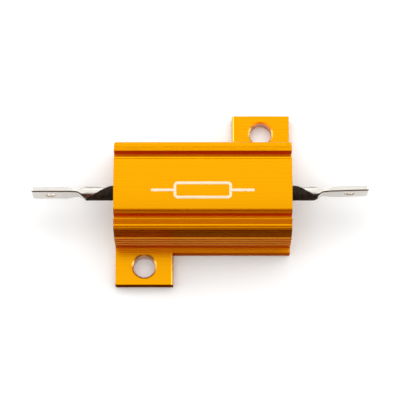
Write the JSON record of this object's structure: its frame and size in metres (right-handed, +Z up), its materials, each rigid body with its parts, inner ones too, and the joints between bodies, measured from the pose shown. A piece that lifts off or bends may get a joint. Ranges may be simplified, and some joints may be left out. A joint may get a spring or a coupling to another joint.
{
  "type": "aluminium housed power resistor",
  "caption": "Wirewound power resistor potted in a gold anodised finned aluminium extrusion, with two diagonal fixing lugs and a flattened solder terminal at each end.",
  "frame": {"origin": "on the heatsink face, midway between the two fixing holes, which is the middle of the housing", "axes": "+X along the terminals, towards the end whose lug is on the +Y side; +Z up, from the heatsink face to the crowned top; +Y across the housing"},
  "size_m": [0.0516, 0.0268, 0.014],
  "materials": {
    "anodised_aluminium": "gold anodised, satin, with fine extrusion lines along its length",
    "tinned_copper": "solder dipped blade, darkened round root",
    "moulding_compound": "matt, slightly grainy",
    "steatite": "unglazed",
    "resistance_alloy": "rolled ribbon, lightly oxidised",
    "cap_steel": "plated, pressed"
  },
  "bodies": {
    "root": {"housing": "anodised_aluminium", "ceramic_core": "steatite", "end_cap_left": "cap_steel", "end_cap_right": "cap_steel", "resistance_winding": "resistance_alloy", "moulding_compound": "moulding_compound", "terminal_left": "tinned_copper", "terminal_right": "tinned_copper"}
  },
  "joints": []
}
